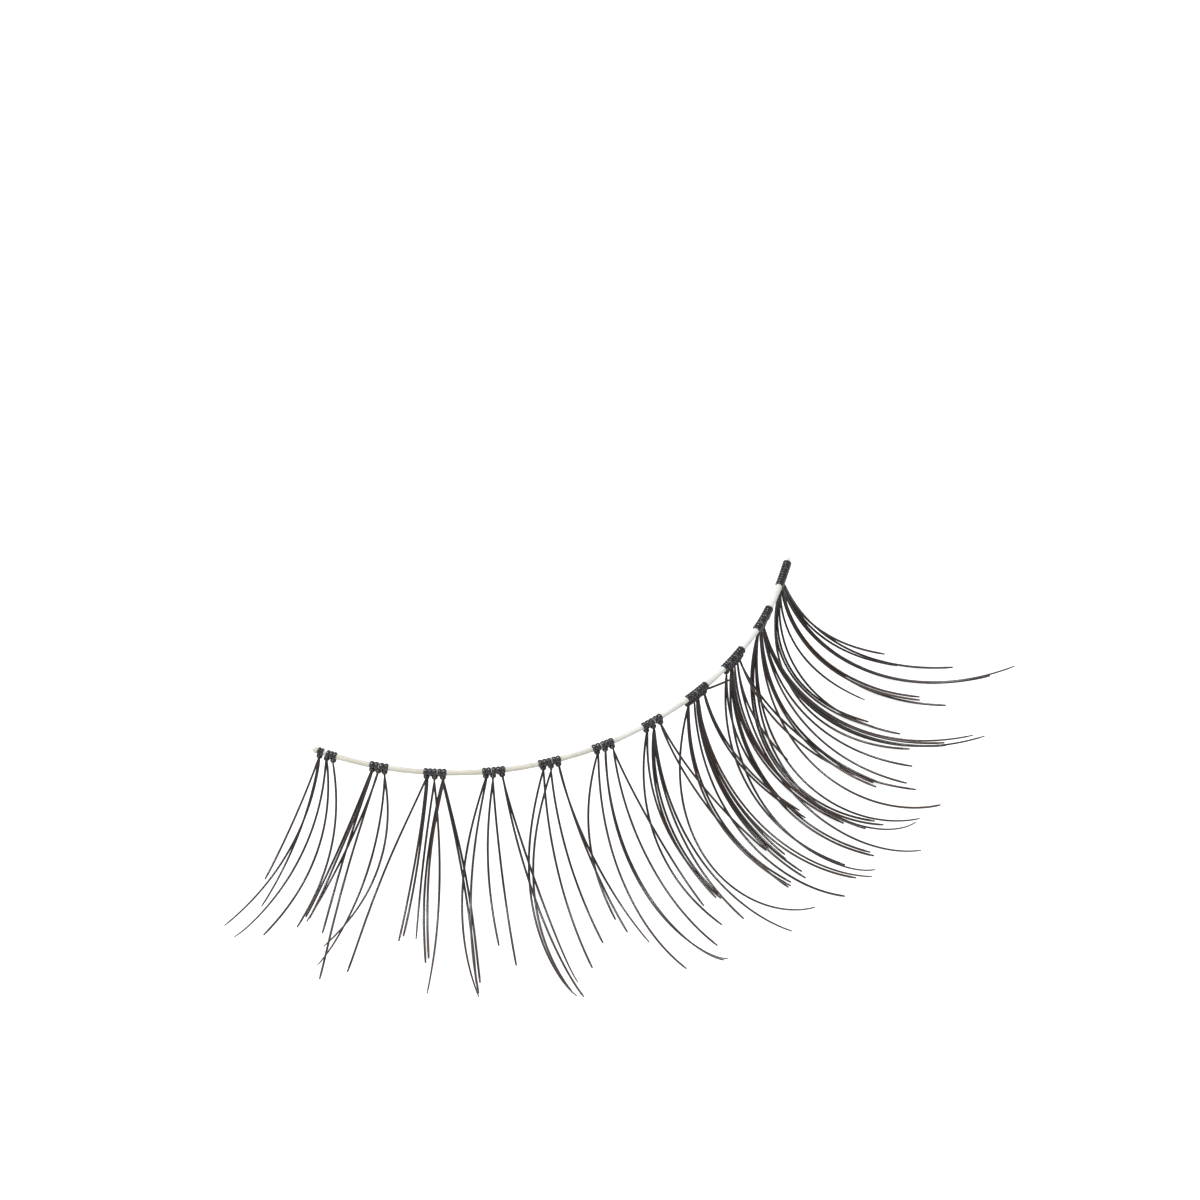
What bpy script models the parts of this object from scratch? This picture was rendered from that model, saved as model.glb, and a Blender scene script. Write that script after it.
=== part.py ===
"""A false eyelash strip, at its real size, lying on a table as it does by itself.

A fine band thread is bowed to the curve of an eyelid. Twelve short windings of
black thread are wound round it, and under each winding sits a row of small
knots from which a tuft of curled lashes grows. The strip rests on the bellies
of its lashes, which droop from the band and curl up again to their tips.

Frame: +Z up, the strip's chord along X, the lashes towards -Y. The origin is
under the middle of the strip, on the table. The pieces are made with the bow's
own centre at zero, and are moved to that origin together at the end.
"""
import math
from collections import namedtuple

import bmesh
import bpy
import numpy as np
from mathutils import Matrix

MM = 0.001

# The band thread: a round thread bowed to an arc, seen from above.
BOW_RADIUS = 18.2 * MM
BAND_START = -50.4          # degrees along the bow, at the left end
BAND_END = 49.4             # degrees along the bow, at the right end
BAND_RADIUS = 0.125 * MM
BAND_STEP = 2.5             # degrees between the rings of the thread
END_BEAD = 1.35             # the glue bead on the left end, in band radii
END_TAPER = 0.55            # the trimmed right end, in band radii

# A winding: thread wound round the band in a few ridged turns.
RIDGE_RADIUS = 0.205 * MM
GROOVE_RADIUS = 0.178 * MM
WINDING_BORE = 0.150 * MM
TURN_PITCH = 0.24 * MM

# The knots in a row under each winding, on the side the lashes leave from.
KNOT_RADIUS = 0.115 * MM
NECK_RADIUS = 0.070 * MM
KNOT_HALF_WIDTH = 0.11 * MM
KNOT_CLEARANCE = 0.015 * MM
KNOT_REACH = RIDGE_RADIUS + KNOT_CLEARANCE + KNOT_RADIUS    # from the band's middle
ROOT_SPREAD = 0.09 * MM      # how far apart along the bow the lashes of one knot may start

# A lash: a thin fibre that was curled on a rod. The curl is tightest at the root.
LASH_RADIUS = 0.060 * MM
LASH_TIP = 0.70             # the tip, as a part of the lash's radius
CURL_RADIUS = 7.3 * MM      # at the root
CURL_OPENING = 0.2          # how much the curl's radius grows for each length of lash
TURN_EASE = 1.8             # above 1, a lash turns sideways more near its root
DROOP = 62.7                # degrees below the level where a lash leaves its knot
TUFT_DROOP = 1.3            # every second tuft droops more, the others less
LASH_DROOP = 1.1            # the lashes of one tuft spread this much up and down
LASH_STEP = 1.9 * MM        # between the rings of a lash
GOLDEN = 0.618

TABLE_START = -49.4         # degrees along the bow where the places in the table begin

# One row for each tuft, from the left end of the band to the right one.
# place    where the middle of its winding is, in mm along the bow from TABLE_START
# width    length of the winding in mm
# slope    how far round the band its knots sit, in degrees below the level
# knots    places of its knots from the winding's middle, in mm
# knot     which of those knots each lash grows from
# heading  mean direction of each lash seen from above, in degrees from straight
#          out of the bow, positive towards the right end
# turn     how far that direction turns from root to tip, in degrees
# length   length of each lash in mm
Tuft = namedtuple("Tuft", "place width slope knots knot heading turn length")
TUFTS = (
    Tuft(0.40, 0.42, 40, (0.0,),
         knot=(0, 0, 0),
         heading=(-8, -9, -2),
         turn=(10, -25, -10),
         length=(7.1, 10.7, 8.6)),
    Tuft(1.05, 0.62, 40, (-0.22, 0.16),
         knot=(0, 0, 1),
         heading=(-4, 3, 8),
         turn=(-30, -45, -42),
         length=(11.0, 10.4, 9.3)),
    Tuft(3.59, 1.00, 40, (-0.33, 0.0, 0.33),
         knot=(0, 0, 1, 1, 2, 2),
         heading=(-17, -6, -18, -4, -6, -7),
         turn=(14, 28, 8, 25, -5, -50),
         length=(8.6, 9.2, 8.9, 12.4, 11.8, 10.4)),
    Tuft(6.51, 1.20, 40, (-0.42, 0.0, 0.42),
         knot=(0, 0, 1, 1, 2, 2),
         heading=(-21, -7, -6, 1, -7, 13),
         turn=(22, -15, 14, -18, 24, -20),
         length=(11.9, 8.9, 8.7, 12.4, 10.2, 11.8)),
    Tuft(9.55, 1.20, 40, (-0.42, -0.05, 0.42),
         knot=(0, 0, 1, 1, 2, 2),
         heading=(-9, -9, -6, 1, 9, 12),
         turn=(46, 30, 20, 2, 4, -8),
         length=(13.5, 12.7, 9.2, 10.5, 14.5, 13.1)),
    Tuft(12.48, 1.20, 40, (-0.38, 0.03, 0.43),
         knot=(0, 1, 0, 1, 2, 2),
         heading=(-9, -14, -1, 2, 6, 12),
         turn=(58, 58, 14, 12, 0, 5),
         length=(14.8, 14.0, 11.5, 10.0, 9.6, 11.0)),
    Tuft(15.42, 1.20, 40, (-0.40, 0.05, 0.45),
         knot=(0, 0, 1, 1, 2, 2),
         heading=(-20, -4, 1, 1, 0, 7),
         turn=(50, 30, 38, 34, 20, -12),
         length=(9.3, 14.2, 15.8, 15.3, 13.1, 10.0)),
    Tuft(18.35, 1.20, 45, (-0.46, -0.03, 0.42),
         knot=(0, 0, 1, 1, 1, 2, 2),
         heading=(-14, -9, -14, -9, -3, 12, 6),
         turn=(58, 45, 45, 27, 34, -8, 0),
         length=(12.2, 10.2, 10.1, 12.2, 15.6, 9.0, 11.6)),
    Tuft(21.34, 1.40, 50, (-0.60, -0.20, 0.35),
         knot=(0, 0, 0, 1, 1, 1, 1, 2, 2),
         heading=(-16, -10, -14, -17, -14, -6, -9, -8, 4),
         turn=(70, 38, 35, 32, 32, 36, 32, 32, 5),
         length=(17.0, 15.9, 11.6, 9.1, 10.2, 16.0, 12.0, 14.6, 8.8)),
    Tuft(24.16, 1.60, 60, (-0.66, -0.30, 0.10),
         knot=(0, 0, 1, 0, 1, 2, 1, 2),
         heading=(-19, -12, -12, -20, -16, -16, -17, -14),
         turn=(45, 50, 50, 50, 52, 50, 56, 34),
         length=(9.1, 11.1, 12.4, 13.8, 14.8, 16.8, 16.7, 6.1)),
    Tuft(27.13, 1.60, 70, (-0.78, -0.50, -0.22),
         knot=(1, 0, 1, 0, 1, 1, 2, 2),
         heading=(-23, -23, -26, -27, -22, -23, -23, -13),
         turn=(52, 60, 60, 56, 50, 50, 48, 48),
         length=(17.3, 18.0, 17.0, 15.4, 11.2, 10.9, 12.3, 11.6)),
    Tuft(30.20, 1.60, 80, (-0.78, -0.53, -0.28),
         knot=(2, 2, 2, 2, 1, 1, 1, 1, 0, 0, 0, 0, 0, 0),
         heading=(3, 5, -3, 2, 0, -13, -9, -24, -28, -31, -25, -21, -18, -15),
         turn=(32, 34, 40, 42, 45, 45, 45, 48, 50, 50, 50, 50, 52, 54),
         length=(7.2, 11.0, 8.1, 15.0, 13.6, 10.2, 11.7, 7.6, 8.5, 10.1, 10.8, 13.2, 14.2, 14.7)),
)


def bow_angle(place):
    """Degrees along the bow of a place given in mm along it."""
    return TABLE_START + math.degrees(place * MM / BOW_RADIUS)


def bow_point(angle, reach=0.0, slope=0.0):
    """The point of the bow at angle, or one at reach from it, slope degrees below the level."""
    turn = math.radians(angle)
    out = reach * math.cos(math.radians(slope))
    down = reach * math.sin(math.radians(slope))
    radius = BOW_RADIUS + out
    return np.array((radius * math.sin(turn), -radius * math.cos(turn), -down))


def droop(tuft_index, lash_index):
    """Degrees below the level at which a lash starts, so that crossing lashes pass clear."""
    by_tuft = TUFT_DROOP if tuft_index % 2 else -TUFT_DROOP
    by_lash = LASH_DROOP * (2 * ((lash_index * GOLDEN) % 1.0) - 1)
    return DROOP + by_tuft + by_lash


def lash_path(tuft_index, lash_index):
    """Points along a lash, from small steps whose pitch climbs as the curl while its heading turns.

    The curl's radius is CURL_RADIUS + CURL_OPENING * distance, so the pitch is its integral,
    a logarithm of the distance. The heading eases out from root to tip about its mean.
    """
    tuft = TUFTS[tuft_index]
    angle = bow_angle(tuft.place + tuft.knots[tuft.knot[lash_index]])
    length = tuft.length[lash_index] * MM
    rings = max(4, int(round(length / LASH_STEP)))
    steps = 12 * rings
    part = (np.arange(steps) + 0.5) / steps
    eased = 1 / (TURN_EASE + 1) - (1 - part) ** TURN_EASE
    heading = np.radians(angle + tuft.heading[lash_index] + tuft.turn[lash_index] * eased)
    climb = np.log(1 + CURL_OPENING * part * length / CURL_RADIUS) / CURL_OPENING
    pitch = climb - math.radians(droop(tuft_index, lash_index))
    along = np.stack((np.sin(heading) * np.cos(pitch), -np.cos(heading) * np.cos(pitch),
                      np.sin(pitch)), axis=1)
    path = np.vstack((np.zeros(3), np.cumsum(along * length / steps, axis=0)))
    aside = math.degrees(ROOT_SPREAD / BOW_RADIUS) * ((lash_index * GOLDEN + 0.3) % 1.0 - 0.5)
    return path[::12] + bow_point(angle + aside, KNOT_REACH, tuft.slope)


def tube(name, points, radii, sides_level):
    """A closed mesh object: a tube of varying radius along points, with filled ends."""
    curve = bpy.data.curves.new(name, "CURVE")
    curve.dimensions = "3D"
    curve.bevel_depth = 1.0 * MM
    curve.bevel_resolution = sides_level
    curve.use_fill_caps = True
    spline = curve.splines.new("POLY")
    spline.points.add(len(points) - 1)
    for place, point, radius in zip(spline.points, points, radii):
        place.co = (*point, 1.0)
        place.radius = radius / MM
    drawn = bpy.data.objects.new(name, curve)
    bpy.context.scene.collection.objects.link(drawn)
    evaluated = drawn.evaluated_get(bpy.context.evaluated_depsgraph_get())
    mesh = bpy.data.meshes.new_from_object(evaluated)
    bpy.data.objects.remove(drawn)
    bpy.data.curves.remove(curve)
    shell = bmesh.new()
    shell.from_mesh(mesh)
    bmesh.ops.remove_doubles(shell, verts=shell.verts, dist=0.0005 * MM)
    bmesh.ops.recalc_face_normals(shell, faces=shell.faces)
    shell.to_mesh(mesh)
    shell.free()
    mesh.name = name
    return bpy.data.objects.new(name, mesh)


def combine(body, others, operation):
    """Join others to body, or cut them out of it, and keep the result as body's mesh."""
    scene = bpy.context.scene.collection.objects
    scene.link(body)
    for other in others:
        scene.link(other)
        step = body.modifiers.new(other.name, "BOOLEAN")
        step.operation = operation
        step.object = other
    evaluated = body.evaluated_get(bpy.context.evaluated_depsgraph_get())
    mesh = bpy.data.meshes.new_from_object(evaluated)
    mesh.name = body.name
    body.modifiers.clear()
    body.data = mesh
    scene.unlink(body)
    for other in others:
        bpy.data.objects.remove(other)
    return body


def material(name, colour, roughness):
    """A plain Principled material for one kind of piece."""
    finish = bpy.data.materials.new(name)
    finish.use_nodes = True
    shader = finish.node_tree.nodes["Principled BSDF"]
    shader.inputs["Base Color"].default_value = (*colour, 1.0)
    shader.inputs["Roughness"].default_value = roughness
    return finish


def place_piece(body, collection, finish):
    """Put a finished piece in the strip's collection with its material."""
    body.data.materials.clear()
    body.data.materials.append(finish)
    collection.objects.link(body)
    body.data.shade_smooth()
    body.data.set_sharp_from_angle(angle=math.radians(40))


def band_thread():
    """The band: a tube along the bow, with a glue bead at one end and a trimmed tip at the other."""
    rings = int(round((BAND_END - BAND_START) / BAND_STEP))
    angles = np.linspace(BAND_START, BAND_END, rings + 1)
    radii = np.full(len(angles), BAND_RADIUS)
    bead = np.array((0.0, 0.35, 0.75))
    angles = np.concatenate((BAND_START + bead, angles[1:]))
    radii = np.concatenate((np.array((0.75, END_BEAD, 1.15)) * BAND_RADIUS, radii[1:]))
    radii[-1] = END_TAPER * BAND_RADIUS
    return tube("band_thread", [bow_point(angle) for angle in angles], radii, 2)


def winding(index, tuft):
    """Thread wound round the band: ridged turns, bored for the band to pass through."""
    turns = max(2, int(round(tuft.width * MM / TURN_PITCH)))
    middle = bow_angle(tuft.place)
    half = math.degrees(tuft.width * MM / 2 / BOW_RADIUS)
    angles = np.linspace(middle - half, middle + half, 2 * turns + 1)
    radii = np.where(np.arange(2 * turns + 1) % 2, RIDGE_RADIUS, GROOVE_RADIUS)
    name = "winding_%02d" % (index + 1)
    sleeve = tube(name, [bow_point(angle) for angle in angles], radii, 2)
    reach = np.linspace(middle - 1.4 * half, middle + 1.4 * half, 4)
    bore = tube("bore", [bow_point(angle) for angle in reach], [WINDING_BORE] * len(reach), 2)
    return combine(sleeve, [bore], "DIFFERENCE")


def lash_tuft(index, tuft):
    """A tuft: its row of knots as one beaded bar, with every lash fused into its knot."""
    angles = []
    radii = []
    width = math.degrees(KNOT_HALF_WIDTH / BOW_RADIUS)
    for knot in tuft.knots:
        middle = bow_angle(tuft.place + knot)
        angles += [middle - width, middle - 0.45 * width, middle + 0.45 * width, middle + width]
        radii += [NECK_RADIUS, KNOT_RADIUS, KNOT_RADIUS, NECK_RADIUS]
    order = np.argsort(angles)
    points = [bow_point(angles[step], KNOT_REACH, tuft.slope) for step in order]
    name = "lash_tuft_%02d" % (index + 1)
    head = tube(name, points, [radii[step] for step in order], 1)
    lashes = []
    for lash in range(len(tuft.length)):
        path = lash_path(index, lash)
        thickness = LASH_RADIUS * (1 - (1 - LASH_TIP) * np.linspace(0.0, 1.0, len(path)) ** 3)
        lashes.append(tube("lash", path, thickness, 0))
    return combine(head, lashes, "UNION")


def centre_on_origin(pieces):
    """Move the pieces so that the origin is under the middle of their box, at its base."""
    corners = []
    for piece in pieces:
        corners += [tuple(vertex.co) for vertex in piece.data.vertices]
    low = np.min(corners, axis=0)
    high = np.max(corners, axis=0)
    shift = Matrix.Translation((-(low[0] + high[0]) / 2, -(low[1] + high[1]) / 2, -low[2]))
    for piece in pieces:
        piece.data.transform(shift)


for leftover in list(bpy.data.objects):
    bpy.data.objects.remove(leftover)

strip = bpy.data.collections.new("false_eyelash_strip")
bpy.context.scene.collection.children.link(strip)
ivory = material("ivory_thread", (0.80, 0.77, 0.68), 0.55)
black_thread = material("black_thread", (0.020, 0.020, 0.022), 0.50)
black_fibre = material("black_fibre", (0.018, 0.015, 0.014), 0.35)

place_piece(band_thread(), strip, ivory)
for number, row in enumerate(TUFTS):
    place_piece(winding(number, row), strip, black_thread)
    place_piece(lash_tuft(number, row), strip, black_fibre)
centre_on_origin(list(strip.objects))
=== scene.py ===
import math
from collections import namedtuple

import bpy
import numpy as np
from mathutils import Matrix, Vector


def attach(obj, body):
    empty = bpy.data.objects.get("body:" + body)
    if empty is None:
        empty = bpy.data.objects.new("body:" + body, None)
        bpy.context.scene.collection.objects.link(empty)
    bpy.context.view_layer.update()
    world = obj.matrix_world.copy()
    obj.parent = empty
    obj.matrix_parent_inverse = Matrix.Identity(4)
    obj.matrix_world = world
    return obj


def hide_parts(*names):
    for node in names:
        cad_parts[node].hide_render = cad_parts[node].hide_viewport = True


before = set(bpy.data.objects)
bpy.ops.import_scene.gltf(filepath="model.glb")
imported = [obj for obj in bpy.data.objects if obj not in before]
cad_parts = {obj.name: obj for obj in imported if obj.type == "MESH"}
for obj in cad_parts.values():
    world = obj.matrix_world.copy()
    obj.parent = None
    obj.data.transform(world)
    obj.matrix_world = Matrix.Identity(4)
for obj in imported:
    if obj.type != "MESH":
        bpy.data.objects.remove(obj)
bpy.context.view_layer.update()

# The camera looks down at the strip from the front left, at the photograph's angle. The
# front middle of the band's bow lies below its aim and a little to the right of it.
MM = 0.001
CAMERA_AZIMUTH = math.radians(-26.3)
CAMERA_ELEVATION = math.radians(55)
CAMERA_DISTANCE = 400 * MM
FIELD_WIDTH = 61.86 * MM
SENSOR_WIDTH = 36
BOW_FRONT = Vector((-0.4385, 3.540, 4.922)) * MM
AIM_LEFT = 0.397 * MM
AIM_UP = 7.41 * MM

camera_right = Vector((math.cos(CAMERA_AZIMUTH), math.sin(CAMERA_AZIMUTH), 0))
camera_back = Vector((
    math.sin(CAMERA_AZIMUTH) * math.cos(CAMERA_ELEVATION),
    -math.cos(CAMERA_AZIMUTH) * math.cos(CAMERA_ELEVATION),
    math.sin(CAMERA_ELEVATION),
))
camera_up = camera_back.cross(camera_right)
camera_aim = BOW_FRONT - camera_right * AIM_LEFT + camera_up * AIM_UP

camera_data = bpy.data.cameras.new("camera")
camera_data.sensor_width = SENSOR_WIDTH
camera_data.lens = SENSOR_WIDTH * CAMERA_DISTANCE / FIELD_WIDTH
camera_data.clip_start = 10 * MM
camera_data.clip_end = 4
camera = bpy.data.objects.new("camera", camera_data)
camera.location = camera_aim + camera_back * CAMERA_DISTANCE
camera.rotation_euler = (-camera_back).to_track_quat("-Z", "Y").to_euler()
bpy.context.collection.objects.link(camera)
bpy.context.scene.camera = camera

# The band is a fine ivory sewing thread of two plies, stiffened with size and set in a bow
# that follows an eyelid. Its inner end is left a little swollen, its outer end is cut short.
BOW_CENTRE = np.array((-0.4385, 21.7400, 4.9222))
BOW_RADIUS = 18.2
BOW_STRAY_ANGLES = (-50, -38, -19, -1, 13, 18, 27, 36, 46, 50)
BOW_STRAY = (-0.10, -0.10, -0.065, -0.03, 0.0, 0.04, 0.085, 0.08, -0.04, -0.06)
BAND_START = -49.7
BAND_END = 49.4
BAND_RADIUS = 0.125
BAND_LOOSENS = 0.17
LOOSE_START = 5
LOOSE_SPAN = 30
BARE_SWELLS = 0.15
BAND_RINGS = 260
BAND_SIDES = 24
BAND_PLIES = 2
PLY_DEPTH = 0.035
PLY_TWIST = 1.9
END_BEAD = 1.25
BEAD_SHARE = 0.006
END_TAPER = 0.55
TAPER_SHARE = 0.012
GOLDEN = 0.618


def bow_point(angle, reach=0.0, slope=0.0):
    """
    Points at an angle along the bow, in degrees from its front middle, and reach mm off
    the band's centre, outward and down by slope degrees. With r = R + the bow's stray from
    a true circle + reach cos slope, x = r sin angle, y = -r cos angle and
    z = -reach sin slope, all from the bow's own centre.
    """
    turn = np.radians(angle)
    stray = np.interp(angle, BOW_STRAY_ANGLES, BOW_STRAY)
    radius = BOW_RADIUS + stray + reach * np.cos(np.radians(slope))
    down = reach * np.sin(np.radians(slope)) + 0 * turn
    return np.stack((radius * np.sin(turn), -radius * np.cos(turn), -down), axis=-1) + BOW_CENTRE


def band_radius(angle):
    """The radius that the windings grip: it swells by a sixth towards the outer, looser end."""
    outer = np.clip((angle - LOOSE_START) / LOOSE_SPAN, 0, 1)
    return BAND_RADIUS * (1 + BAND_LOOSENS * outer ** 2 * (3 - 2 * outer))


def unit(vectors):
    """Each vector over its own length."""
    return vectors / np.linalg.norm(vectors, axis=-1, keepdims=True)


def carried(path, outward, side_size, out_size, sides):
    """
    A closed outline carried along a path. At ring i and corner j the surface is
    path_i + side_i * side_size cos(2 pi j / sides) + out_i * out_size sin(2 pi j / sides),
    where out_i is `outward` made square to the path and side_i is square to both. The
    sizes are numbers, one for each ring, or one for each corner of each ring.
    """
    along = unit(np.gradient(path, axis=0))
    outward = np.broadcast_to(outward, path.shape)
    out = unit(outward - along * np.sum(along * outward, axis=1, keepdims=True))
    side = np.cross(along, out)
    around = np.arange(sides) * 2 * np.pi / sides
    side_size, out_size = (
        size if np.ndim(size) == 2 else np.reshape(size, (-1, 1)) for size in (side_size, out_size)
    )
    across = side[:, None, :] * (side_size * np.cos(around))[:, :, None]
    upward = out[:, None, :] * (out_size * np.sin(around))[:, :, None]
    return path[:, None, :] + across + upward


def rounded_ends(count, start=3, end=3, least=0.12):
    """Sizes along a tube: 1, but at each end a quarter circle over that many rings."""
    rings = np.arange(count)
    near = np.clip(rings / start, 0, 1)
    far = np.clip((count - 1 - rings) / end, 0, 1)
    return np.maximum(least, np.sqrt(1 - (1 - near) ** 2) * np.sqrt(1 - (1 - far) ** 2))


def thread_piece(name, tubes, finish):
    """
    One piece from many carried outlines, each closed by a point at both ends. Its map's u
    is the length along a tube in mm and its v goes once round it. The attribute strand is
    a number from 0 to 1 that belongs to the whole tube, and part goes from 0 at its start
    to 1 at its end.
    """
    corners, faces, spots, strands, parts = [], [], [], [], []
    first = 0
    for index, tube in enumerate(tubes):
        rings, sides = tube.shape[:2]
        middles = tube.mean(axis=1)
        steps = np.linalg.norm(np.diff(middles, axis=0), axis=1)
        length = np.concatenate(((0.0,), np.cumsum(steps)))
        corners.append(np.vstack((tube.reshape(-1, 3), middles[:1], middles[-1:])))
        ring, corner = np.meshgrid(np.arange(rings - 1), np.arange(sides), indexing="ij")
        ring, corner = ring.ravel(), corner.ravel()
        onward = (corner + 1) % sides
        quads = np.stack((
            ring * sides + corner, ring * sides + onward,
            (ring + 1) * sides + onward, (ring + 1) * sides + corner,
        ), axis=1)
        near, far = length[ring], length[ring + 1]
        left, right = corner / sides, (corner + 1) / sides
        quad_spots = np.stack((near, left, near, right, far, right, far, left), axis=1)
        here = np.arange(sides)
        after = (here + 1) % sides
        last = (rings - 1) * sides
        starts = np.stack((np.full(sides, rings * sides), after, here), axis=1)
        ends = np.stack((np.full(sides, rings * sides + 1), last + here, last + after), axis=1)
        faces += (quads + first).tolist() + (starts + first).tolist() + (ends + first).tolist()
        low, high, mid = here / sides, (here + 1) / sides, (here + 0.5) / sides
        zero, full = np.zeros(sides), np.full(sides, length[-1])
        spots += [
            quad_spots.ravel(),
            np.stack((zero, mid, zero, high, zero, low), axis=1).ravel(),
            np.stack((full, mid, full, low, full, high), axis=1).ravel(),
        ]
        count = rings * sides + 2
        strands.append(np.full(count, (index * GOLDEN + 0.37) % 1.0))
        share = np.repeat(length / length[-1], sides)
        parts.append(np.concatenate((share, (0.0, 1.0))))
        first += count
    mesh = bpy.data.meshes.new(name)
    mesh.from_pydata((np.vstack(corners) * MM).tolist(), [], faces)
    mesh.uv_layers.new(name="thread_map").data.foreach_set("uv", np.concatenate(spots))
    for attribute, values in (("strand", strands), ("part", parts)):
        numbers = mesh.attributes.new(attribute, "FLOAT", "POINT")
        numbers.data.foreach_set("value", np.concatenate(values))
    mesh.shade_smooth()
    mesh.materials.append(finish)
    piece = bpy.data.objects.new(name, mesh)
    bpy.context.collection.objects.link(piece)
    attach(piece, "root")
    return piece


class Wire:
    """One output of a finish's node. Sums and products with it add Math nodes."""

    def __init__(self, finish, socket):
        self.finish = finish
        self.socket = socket

    def math(self, operation, *values):
        return self.finish.node("ShaderNodeMath", {"operation": operation}, dict(enumerate(values)))

    def __add__(self, other):
        return self.math("ADD", self, other)

    def __mul__(self, other):
        return self.math("MULTIPLY", self, other)

    __radd__ = __add__
    __rmul__ = __mul__

    def output(self, index):
        """Another output of the same node."""
        return Wire(self.finish, self.socket.node.outputs[index])

    def between(self, low, high):
        """0 below low, 1 above high, and a smooth ramp from one to the other."""
        return self.finish.node(
            "ShaderNodeMapRange", {"interpolation_type": "SMOOTHSTEP"},
            {"Value": self, "From Min": low, "From Max": high},
        )


class Finish:
    """A procedural finish. Every node in it comes from the method node."""

    def __init__(self, name):
        self.material = bpy.data.materials.new(name)
        self.material.use_nodes = True
        self.tree = self.material.node_tree
        self.surface = self.tree.nodes["Principled BSDF"]

    def join(self, value, socket):
        if isinstance(value, Wire):
            self.tree.links.new(value.socket, socket)
        else:
            socket.default_value = value

    def node(self, kind, settings=None, inputs=None, output=0):
        made = self.tree.nodes.new(kind)
        for name, value in (settings or {}).items():
            setattr(made, name, value)
        for name, value in (inputs or {}).items():
            self.join(value, made.inputs[name])
        return Wire(self, made.outputs[output])

    def mixed(self, share, first, second):
        """Goes from the first colour to the second as share goes from 0 to 1."""
        return self.node(
            "ShaderNodeMix", {"data_type": "RGBA"}, {0: share, 6: first, 7: second}, output=2
        )

    def attribute(self, name):
        return self.node("ShaderNodeAttribute", {"attribute_name": name}, output=2)

    def map_spot(self, along=1.0, around=1.0):
        """The piece's own map, in `along` units for each mm and `around` for each turn."""
        spot = self.node("ShaderNodeUVMap", {"uv_map": "thread_map"})
        return self.node(
            "ShaderNodeVectorMath", {"operation": "MULTIPLY"}, {0: spot, 1: (along, around, 1)}
        )

    def noise(self, spot, scale, detail=2.0, roughness=0.5):
        return self.node(
            "ShaderNodeTexNoise", None,
            {"Vector": spot, "Scale": scale, "Detail": detail, "Roughness": roughness},
        )

    def relief(self, height, strength, depth):
        return self.node(
            "ShaderNodeBump", None, {"Height": height, "Strength": strength, "Distance": depth}
        )

    def wears(self, **inputs):
        """Sets the surface's sockets: base_color is Base Color, and so on."""
        for name, value in inputs.items():
            self.join(value, self.surface.inputs[name.replace("_", " ").title()])
        return self.material


def ivory_finish():
    """
    Sized ivory thread: warm beige where the size has soaked in, at the inner end, and
    whiter towards the outer end. Fine fibres run along each ply, at a slant.
    """
    finish = Finish("ivory_thread")
    along = finish.node("ShaderNodeSeparateXYZ", None, {0: finish.map_spot()})
    around = along.output(1)
    slant = around + along * (1 / PLY_TWIST)
    strands = finish.node("ShaderNodeCombineXYZ", None, {0: along * 1.5, 1: slant * 26.0})
    fibres = finish.noise(strands, 1.0, 3.0, 0.6)
    blotch = finish.noise(finish.map_spot(0.55, 1.2), 1.0, 2.0)
    outer = finish.attribute("part").between(0.30, 0.72)
    whiter = finish.mixed(outer, (0.60, 0.58, 0.51, 1), (0.71, 0.71, 0.68, 1))
    beige = finish.mixed(outer, (0.50, 0.45, 0.36, 1), (0.57, 0.555, 0.50, 1))
    colour = finish.mixed((blotch * 0.8 + fibres * 0.6).between(0.5, 0.95), whiter, beige)
    return finish.wears(
        base_color=colour,
        roughness=0.42 + fibres * 0.2,
        normal=finish.relief(fibres, 0.35, 0.02 * MM),
    )


def band_tube():
    """
    The band's outline, BARE_SWELLS wider than what the windings grip. Its plies swell it
    by PLY_DEPTH cos(plies x turn - twist), a bead swells its inner end, and its outer end
    tapers where it was cut.
    """
    angles = np.linspace(BAND_START, BAND_END, BAND_RINGS)
    path = bow_point(angles)
    share = np.linspace(0, 1, BAND_RINGS)
    twist = np.radians(angles) * BOW_RADIUS * 2 * np.pi / PLY_TWIST
    around = np.arange(BAND_SIDES) * 2 * np.pi / BAND_SIDES
    lobes = 1 + PLY_DEPTH * np.cos(BAND_PLIES * around[None, :] - twist[:, None])
    bead = 1 + (END_BEAD - 1) * np.exp(-(((share - BEAD_SHARE) / BEAD_SHARE) ** 2))
    trim = 1 - (1 - END_TAPER) * np.clip((share - (1 - TAPER_SHARE)) / TAPER_SHARE, 0, 1)
    ends = bead * trim * rounded_ends(BAND_RINGS, 2, 2) * (1 + BARE_SWELLS)
    size = band_radius(angles)[:, None] * lobes * ends[:, None]
    return carried(path, bow_point(angles, 1.0) - path, size, size, BAND_SIDES)


band = thread_piece("band", [band_tube()], ivory_finish())
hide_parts("band_thread")

# A drop of set glue holds the first knot at the band's inner end. It is pale, cloudy and
# a little pink, and dried uneven.
GLUE_HALF_LENGTH = 0.22
GLUE_RADIUS = 0.165
GLUE_INSET = 0.35
GLUE_LUMPS = 0.10
GLUE_RINGS = 22
GLUE_SIDES = 20


def glue_finish():
    """Cloudy set glue, a little pinker in patches."""
    finish = Finish("set_glue")
    spot = finish.node("ShaderNodeTexCoord", output=3)
    cloud = finish.noise(spot, 4000.0, 2.0)
    return finish.wears(
        base_color=finish.mixed(cloud, (0.84, 0.76, 0.74, 1), (0.90, 0.88, 0.86, 1)),
        roughness=0.30,
        transmission_weight=0.35,
        normal=finish.relief(cloud, 0.3, 0.02 * MM),
    )


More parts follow.
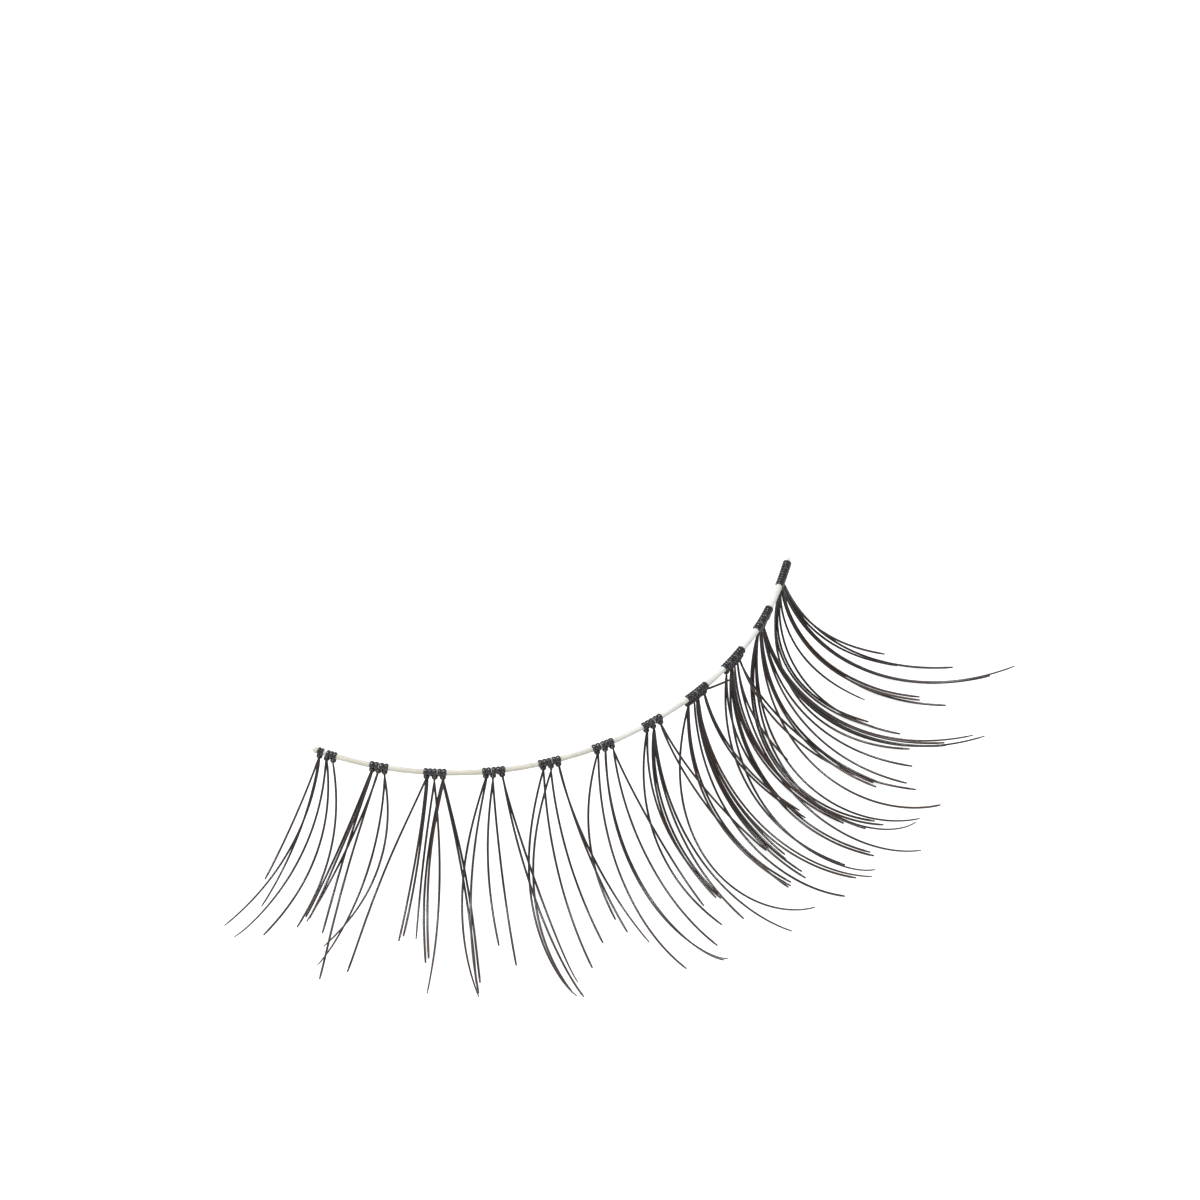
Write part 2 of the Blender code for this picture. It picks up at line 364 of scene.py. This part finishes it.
def glue_tube():
    """The drop: an ellipsoid along the band, with radius R sqrt(1 - s^2) and two lumps."""
    angle = BAND_START + GLUE_INSET
    middle = bow_point(angle)
    along = unit(bow_point(angle + 1) - middle)
    share = np.linspace(-0.985, 0.985, GLUE_RINGS)
    around = np.arange(GLUE_SIDES) * 2 * np.pi / GLUE_SIDES
    lumps = 1 + GLUE_LUMPS * np.sin(2 * around[None, :] + 5 * share[:, None])
    size = GLUE_RADIUS * np.sqrt(1 - share[:, None] ** 2) * lumps
    path = middle + share[:, None] * GLUE_HALF_LENGTH * along
    return carried(path, (0, 0, 1), size, size, GLUE_SIDES)


glue = thread_piece("glue_drop", [glue_tube()], glue_finish())

# Each tuft is tied on with black thread, whose loops lie side by side round the band as a
# short winding. They come in one to three groups, with a narrow gap between them.
CHART_START = -49.4
LOOP_THICKNESS = 0.050
LOOP_CROWD = 0.94
GROUP_GAP = 0.022
LOOP_DIP = 1.6
LOOP_SIDES = 10
LOOP_STEPS = 28

# A tuft's place is in mm from the chart's start, its knots' places are in mm from its own,
# and loops has a number for each group. From knot on, each column has an entry for each
# lash: its knot, its heading and turn in degrees, its length in mm, its hairs and its tip.
Tuft = namedtuple("Tuft", "place width slope loops knots knot heading turn length hairs tips")
TUFTS = (
    Tuft(0.42, 0.34, 40, (2,), (0.0,), knot=(0, 0, 0), heading=(-8, -9, -2),
         turn=(10, -25, -10), length=(7.1, 10.7, 8.6), hairs="111", tips="cff"),
    Tuft(1.02, 0.58, 40, (3,), (-0.20, 0.16), knot=(0, 0, 1), heading=(-7, 1, 8),
         turn=(-30, -45, -42), length=(11.3, 10.4, 9.3), hairs="111", tips="hcc"),
    Tuft(3.59, 1.00, 40, (2, 2), (-0.33, 0.0, 0.33), knot=(0, 0, 1, 1, 2, 2),
         heading=(-15, -8, -18, -5, -8, -7), turn=(14, 24, 8, 25, -20, -55),
         length=(8.6, 9.2, 8.9, 12.4, 11.6, 10.4), hairs="211111", tips="ccfchf"),
    Tuft(6.51, 1.20, 40, (3, 2), (-0.42, 0.0, 0.42), knot=(0, 0, 1, 1, 2, 2),
         heading=(-21, -7, -6, 2, -6, 13), turn=(34, 0, 14, -18, 30, -20),
         length=(11.9, 8.9, 8.7, 12.3, 10.2, 11.8), hairs="121122", tips="ccffcc"),
    Tuft(9.55, 1.20, 40, (2, 3), (-0.42, -0.05, 0.42), knot=(0, 0, 1, 1, 2, 2),
         heading=(-9, -9, -6, 1, 11, 12), turn=(46, 30, 26, 2, 4, -8),
         length=(13.5, 12.7, 9.2, 10.5, 14.3, 13.1), hairs="111111", tips="fcccch"),
    Tuft(12.48, 1.20, 40, (3, 2), (-0.38, 0.03, 0.43), knot=(0, 1, 0, 1, 2, 2),
         heading=(-9, -14, -1, 2, 8, 12), turn=(54, 58, 14, 12, 0, 5),
         length=(14.8, 14.0, 11.5, 10.0, 9.8, 11.0), hairs="111111", tips="hccccf"),
    Tuft(15.42, 1.20, 40, (2, 3), (-0.40, 0.05, 0.45), knot=(0, 0, 1, 1, 2, 2),
         heading=(-20, -4, 1, 1, 0, 7), turn=(50, 30, 38, 34, 20, -12),
         length=(9.3, 14.2, 15.8, 15.3, 13.1, 10.0), hairs="111111", tips="cchhcc"),
    Tuft(18.35, 1.20, 45, (3, 2), (-0.46, -0.03, 0.42), knot=(0, 0, 1, 1, 1, 2, 2),
         heading=(-14, -9, -14, -9, -3, 12, 6), turn=(55, 45, 45, 27, 34, -8, 0),
         length=(12.2, 10.2, 10.1, 12.0, 15.1, 9.0, 11.6), hairs="1121111", tips="ccccfcc"),
    Tuft(21.34, 1.40, 50, (4, 5), (-0.78, -0.42, -0.15, 0.35), knot=(0, 1, 0, 2, 2, 2, 2, 2, 3),
         heading=(-16, -9, -13, -16, -13, -3, -12, -5, 1),
         turn=(78, 42, 48, 32, 32, 36, 34, 40, 27),
         length=(17.8, 15.6, 12.1, 9.1, 10.2, 15.6, 12.0, 14.6, 8.8),
         hairs="112121212", tips="fccccfccc"),
    Tuft(24.16, 1.60, 60, (3, 3, 4), (-0.74, -0.36, -0.10, 0.14, 0.32),
         knot=(0, 1, 2, 0, 1, 3, 1, 3, 4, 4),
         heading=(-20.5, -14, -14, -21.5, -17, -14.5, -21, -19, 3, 3),
         turn=(50, 50, 50, 60, 52, 41, 58, 38, 8, 30),
         length=(9.1, 10.9, 12.2, 13.7, 14.4, 17.4, 16.5, 6.1, 10.6, 12.6),
         hairs="1211211111", tips="cccccfhccc"),
    Tuft(27.13, 1.60, 70, (3, 3, 4), (-0.80, -0.52, -0.22),
         knot=(1, 0, 0, 0, 1, 1, 2, 2, 2, 2, 2),
         heading=(-21, -27, -25, -31, -23.5, -22.5, -19, -14, 1, 1, -3),
         turn=(58, 70, 68, 80, 50, 50, 46, 52, 58, 52, 50),
         length=(16.9, 18.2, 17.0, 15.0, 11.2, 10.9, 12.4, 11.9, 15.2, 14.2, 12.8),
         hairs="11122111112", tips="chfcccccffc"),
    Tuft(30.20, 1.60, 80, (3, 4, 3), (-0.78, -0.53, -0.28),
         knot=(2, 2, 2, 2, 1, 1, 1, 1, 0, 0, 0, 0),
         heading=(-1, 1, -5, 1, 0, -14, -12, -18, -25, -35, -34, -29),
         turn=(44, 38, 46, 52, 48, 58, 52, 56, 65, 98, 96, 79),
         length=(7.4, 11.2, 8.3, 15.1, 13.6, 10.4, 11.9, 8.8, 8.0, 10.0, 13.1, 11.2),
         hairs="111112121211", tips="ccffccccfccc"),
)


def bow_angle(place):
    """The angle of a place along the bow, given in mm from the chart's start."""
    return CHART_START + np.degrees(place / BOW_RADIUS)


def loop_group(start, end, loops):
    """
    A thread wound round the band from one place to another. Its turn goes from 0, on the
    underside, to 2 pi loops. It stays at one place along the band for three quarters of
    each turn and steps to the next in the last quarter. Its section is an ellipse almost
    as wide as its pitch, and both its ends dip into the band.
    """
    steps = LOOP_STEPS * loops
    share = np.linspace(0, loops, steps)
    whole = np.floor(share)
    stepped = np.clip((share - whole - 0.75) / 0.25, 0, 1)
    placed = np.minimum(whole + stepped ** 2 * (3 - 2 * stepped), loops - 1)
    angle = bow_angle(start + (end - start) * (placed + 0.5) / loops)
    turn = 2 * np.pi * share
    dip = 1 - rounded_ends(steps, LOOP_STEPS // 3, LOOP_STEPS // 3, 0.0)
    reach = band_radius(angle) + LOOP_THICKNESS * (1 - LOOP_DIP * dip)
    middle = bow_point(angle)
    out = bow_point(angle, 1.0) - middle
    outward = out * np.sin(turn)[:, None] + np.array((0, 0, -1)) * np.cos(turn)[:, None]
    half_width = (end - start) / loops / 2 * LOOP_CROWD
    path = middle + outward * reach[:, None]
    return carried(path, outward, half_width, LOOP_THICKNESS, LOOP_SIDES)


def winding_loops(tuft):
    """The tuft's groups of loops, with a narrow gap between groups."""
    pitch = (tuft.width - GROUP_GAP * (len(tuft.loops) - 1)) / sum(tuft.loops)
    start = tuft.place - tuft.width / 2
    groups = []
    for loops in tuft.loops:
        groups.append(loop_group(start, start + loops * pitch, loops))
        start += loops * pitch + GROUP_GAP
    return groups


def thread_finish():
    """Black wound thread: fine fibres along it, some lighter blue-grey, partly wear and partly
    painted glints.
    """
    finish = Finish("black_thread")
    fibres = finish.noise(finish.map_spot(1.2, 9.0), 1.0, 3.0, 0.6)
    patch = finish.noise(finish.map_spot(2.0, 1.0), 1.0, 1.0)
    # The lighter blue-grey fibres are partly wear and partly painted glints where the thread would
    # catch the light.
    colour = finish.mixed(
        fibres.between(0.35, 0.7), (0.007, 0.007, 0.009, 1), (0.022, 0.023, 0.028, 1)
    )
    return finish.wears(
        base_color=colour,
        roughness=0.12 + patch * 0.18,
        normal=finish.relief(fibres, 0.5, 0.02 * MM),
        coat_weight=0.3,
        coat_roughness=0.2,
    )


black_thread = thread_finish()
for number, tuft in enumerate(TUFTS, 1):
    winding = thread_piece("winding_%02d_loops" % number, winding_loops(tuft), black_thread)
    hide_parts("winding_%02d" % number)

# Each tuft hangs from one to five small hitches below its winding. From every hitch leave
# long hairs of brown-black fibre, curled up along their length and fanned out in plan.
KNOT_RADIUS = 0.155
KNOT_HALF_LENGTH = 0.135
KNOT_NEAR = 0.235
KNOT_REACH = 0.335
KNOT_RIDGE = 0.12
KNOT_RINGS = 20
KNOT_SIDES = 16
RIDGE_SLOPE = 45
RIDGE_RADIUS = 0.125
RIDGE_NEAR = 0.24
RIDGE_RINGS = 40
RIDGE_SIDES = 14
ROOT_SPREAD = 0.09
HAIR_RADIUS = 0.062
HAIR_THINS = {"c": 1.0, "f": 0.70, "h": 0.60}
HAIR_SIDES = 8
HAIR_STEP = 0.42
TIP_HOOK = 9
HOOK_START = 0.78
TWIN_APART = 0.135
TWIN_ROOT = 0.35
TWIN_OPENS = 1.1
TWIN_WAVE = 0.12
TWIN_SHORTER = 0.06
CURL_RADIUS = 7.3
CURL_OPENING = 0.2
TURN_EASE = 1.8
DROOP = 62.7
TUFT_DROOP = 1.3
LASH_DROOP = 1.1
STRAY_TUFT = 8
STRAY_START = 0.55
STRAY_END = 2.15
STRAY_NEAR = 0.20
STRAY_FAR = 0.62
STRAY_SAG = 0.20
STRAY_SLOPE = 25
STRAY_RINGS = 9


def droop(tuft_index, lash_index):
    """How far below level a lash starts, in degrees, a little different for each one."""
    by_tuft = TUFT_DROOP if tuft_index % 2 else -TUFT_DROOP
    by_lash = LASH_DROOP * (2 * ((lash_index * GOLDEN) % 1.0) - 1)
    return DROOP + by_tuft + by_lash


def lash_path(tuft_index, lash_index, beside=0.0, share=1.0):
    """
    The middle line of one hair. Over the part t of its length L its direction climbs by
    ln(1 + o t L / C) / o from a start `droop` degrees below level, where C is the curl's
    radius at the root and o how fast it opens. A hooked tip climbs by TIP_HOOK more over
    its last fifth. In plan it heads along the bow's own radius turned by
    heading + turn (1 / (e + 1) - (1 - t) ^ e). A twin leaves close to it and opens to
    about 1.4 times `beside` mm to its side, with a slight wave. `share` below 1 cuts it
    short.
    """
    tuft = TUFTS[tuft_index]
    angle = bow_angle(tuft.place + tuft.knots[tuft.knot[lash_index]])
    length = tuft.length[lash_index] * share
    steps = max(10, int(round(length / HAIR_STEP)))
    part = (np.arange(steps) + 0.5) / steps
    eased = 1 / (TURN_EASE + 1) - (1 - part * share) ** TURN_EASE
    heading = np.radians(angle + tuft.heading[lash_index] + tuft.turn[lash_index] * eased)
    climb = np.log(1 + CURL_OPENING * part * length / CURL_RADIUS) / CURL_OPENING
    tip_part = np.clip((part - HOOK_START) / (1 - HOOK_START), 0, 1)
    hook = TIP_HOOK * (tuft.tips[lash_index] == "h") * tip_part ** 2
    pitch = climb - np.radians(droop(tuft_index, lash_index) - hook)
    level = np.cos(pitch)
    along = np.stack((np.sin(heading) * level, -np.cos(heading) * level, np.sin(pitch)), axis=1)
    path = np.vstack((np.zeros(3), np.cumsum(along * length / steps, axis=0)))
    ring = np.linspace(0, 1, steps + 1)
    turned = np.interp(ring, part, heading)
    square = np.stack((np.cos(turned), np.sin(turned), 0 * turned), axis=1)
    wave = TWIN_WAVE * np.sin(9 * ring + 2 * lash_index)
    apart = beside * (TWIN_ROOT + TWIN_OPENS * ring ** 0.6 + wave)
    aside = np.degrees(ROOT_SPREAD / BOW_RADIUS) * ((lash_index * GOLDEN + 0.3) % 1.0 - 0.5)
    return path + square * apart[:, None] + bow_point(angle + aside, KNOT_REACH, tuft.slope)


def hair(path, tip):
    """
    A round hair along a path. Its radius is HAIR_RADIUS, and beyond half its length thins
    by a curve to HAIR_THINS of that at its tip: a cut, a fine or a hooked one. Both its
    ends are slightly rounded.
    """
    part = np.linspace(0, 1, len(path))
    taper = 1 - (1 - HAIR_THINS[tip]) * np.clip((part - 0.5) / 0.5, 0, 1) ** 1.5
    size = HAIR_RADIUS * taper * rounded_ends(len(path), 1, 1, 0.7)
    return carried(path, (0, 0, 1), size, size, HAIR_SIDES)


def hitch(middle, along):
    """
    A small hitch seen as a spindle of wound hair. At height t and turn a its radius is
    R (1 - t^2)^0.4 (1 + KNOT_RIDGE cos(5 pi t - a)), with a ridge that winds round it.
    """
    share = np.linspace(-0.97, 0.97, KNOT_RINGS)
    around = np.arange(KNOT_SIDES) * 2 * np.pi / KNOT_SIDES
    ridge = 1 + KNOT_RIDGE * np.cos(5 * np.pi * share[:, None] - around[None, :])
    size = KNOT_RADIUS * (1 - share[:, None] ** 2) ** 0.4 * ridge
    path = middle + share[:, None] * KNOT_HALF_LENGTH * along
    return carried(path, (0.3, 0.2, 1), size, size, KNOT_SIDES)


def knot_ridge(tuft):
    """
    The row of hitches under a dense tuft's winding, pressed into one lumpy ridge. It runs
    from the first hitch to the winding's end, and its radius is
    R (1 + KNOT_RIDGE sin(14 s)), where s is the length in mm.
    """
    start = tuft.place + tuft.knots[0]
    end = tuft.place + tuft.width / 2 - RIDGE_RADIUS
    places = np.linspace(start, end, RIDGE_RINGS)
    path = bow_point(bow_angle(places), RIDGE_NEAR, tuft.slope)
    size = RIDGE_RADIUS * (1 + KNOT_RIDGE * np.sin(14 * places)) * rounded_ends(RIDGE_RINGS, 5, 5)
    return carried(path, (0, 0, 1), size, size, RIDGE_SIDES)


def stray_path(tuft):
    """The path of a short stray hair from a winding to the next tuft, sinking as it goes."""
    places = np.linspace(tuft.place + STRAY_START, tuft.place + STRAY_END, STRAY_RINGS)
    reach = np.linspace(STRAY_NEAR, STRAY_FAR, STRAY_RINGS)
    down = np.linspace(0, STRAY_SAG, STRAY_RINGS)[:, None] * (0, 0, -1)
    return bow_point(bow_angle(places), reach, STRAY_SLOPE) + down


def fibre_finish():
    """
    Curled synthetic hair: brown-black with a satin gloss. Each hair has its own depth of
    brown, and it grows lighter towards its tip and along a few streaks.
    """
    finish = Finish("black_fibre")
    strand = finish.attribute("strand")
    part = finish.attribute("part")
    streak = finish.noise(finish.map_spot(0.35, 2.0), 1.0, 2.0)
    brown = (strand * 0.5 + streak * 0.8 + part * 0.25).between(0.55, 1.25)
    colour = finish.mixed(brown, (0.014, 0.009, 0.008, 1), (0.062, 0.035, 0.023, 1))
    return finish.wears(
        base_color=colour,
        roughness=0.18 + streak * 0.20,
        normal=finish.relief(streak, 0.15, 0.01 * MM),
    )


black_fibre = fibre_finish()
for tuft_index, tuft in enumerate(TUFTS):
    tubes = []
    for knot_index, knot_place in enumerate(tuft.knots):
        angle = bow_angle(tuft.place + knot_place)
        middle = bow_point(angle, KNOT_NEAR, tuft.slope)
        leaving = [
            lash_path(tuft_index, lash)[2] - middle
            for lash in range(len(tuft.knot)) if tuft.knot[lash] == knot_index
        ]
        tubes.append(hitch(middle, unit(np.mean(leaving, axis=0))))
    if tuft.slope > RIDGE_SLOPE:
        tubes.append(knot_ridge(tuft))
    for lash, (count, tip) in enumerate(zip(tuft.hairs, tuft.tips)):
        for twin in range(int(count)):
            beside = TWIN_APART * (twin - (int(count) - 1) / 2)
            share = 1 - TWIN_SHORTER * twin * ((lash * GOLDEN) % 1.0)
            tubes.append(hair(lash_path(tuft_index, lash, beside, share), tip))
    if tuft_index == STRAY_TUFT:
        tubes.append(hair(stray_path(tuft), "f"))
    lashes = thread_piece("lashes_%02d" % (tuft_index + 1), tubes, black_fibre)
    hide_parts("lash_tuft_%02d" % (tuft_index + 1))

# The strip lies on a plain white table top. It is lit by a broad soft light from above and
# behind, a small strong one from behind at the left, and a weak one from the left front.
TABLE_SIZE = 3.0
TABLE_DROP = 0.01 * MM


def table_finish():
    """Matt white board, with the faintest mottle."""
    finish = Finish("table_white")
    spot = finish.node("ShaderNodeTexCoord", output=3)
    mottle = finish.noise(spot, 60.0, 2.0)
    return finish.wears(
        base_color=finish.mixed(mottle, (0.50, 0.50, 0.50, 1), (0.53, 0.53, 0.53, 1)),
        roughness=0.8,
        emission_color=(1, 1, 1, 1),
        emission_strength=0.75,
    )


table_corners = np.array(((-1, -1, 0), (1, -1, 0), (1, 1, 0), (-1, 1, 0))) * TABLE_SIZE / 2
table_mesh = bpy.data.meshes.new("table_top")
table_mesh.from_pydata((table_corners - (0, 0, TABLE_DROP)).tolist(), [], [(0, 1, 2, 3)])
table_mesh.materials.append(table_finish())
table_top = bpy.data.objects.new("table_top", table_mesh)
bpy.context.collection.objects.link(table_top)


def soft_light(name, place, size, power, colour):
    """A square area light of that size at a place, turned to the strip."""
    data = bpy.data.lights.new(name, "AREA")
    data.size = size
    data.energy = power
    data.color = colour
    light = bpy.data.objects.new(name, data)
    light.location = place
    light.rotation_euler = (-Vector(place)).to_track_quat("-Z", "Y").to_euler()
    bpy.context.collection.objects.link(light)


soft_light("overhead_soft", (0.15, 0.45, 0.9), 0.8, 3.5, (0.95, 0.98, 1.0))
soft_light("small_key", (-0.25, 0.35, 0.9), 0.12, 6.0, (0.92, 0.96, 1.0))
soft_light("front_soft", (-0.6, -0.7, 0.7), 0.6, 1.5, (1.0, 0.98, 0.95))
world = bpy.data.worlds.new("studio")
world.use_nodes = True
world.node_tree.nodes["Background"].inputs["Color"].default_value = (1, 1, 1, 1)
world.node_tree.nodes["Background"].inputs["Strength"].default_value = 0.55
bpy.context.scene.world = world
bpy.context.scene.view_settings.view_transform = "Standard"
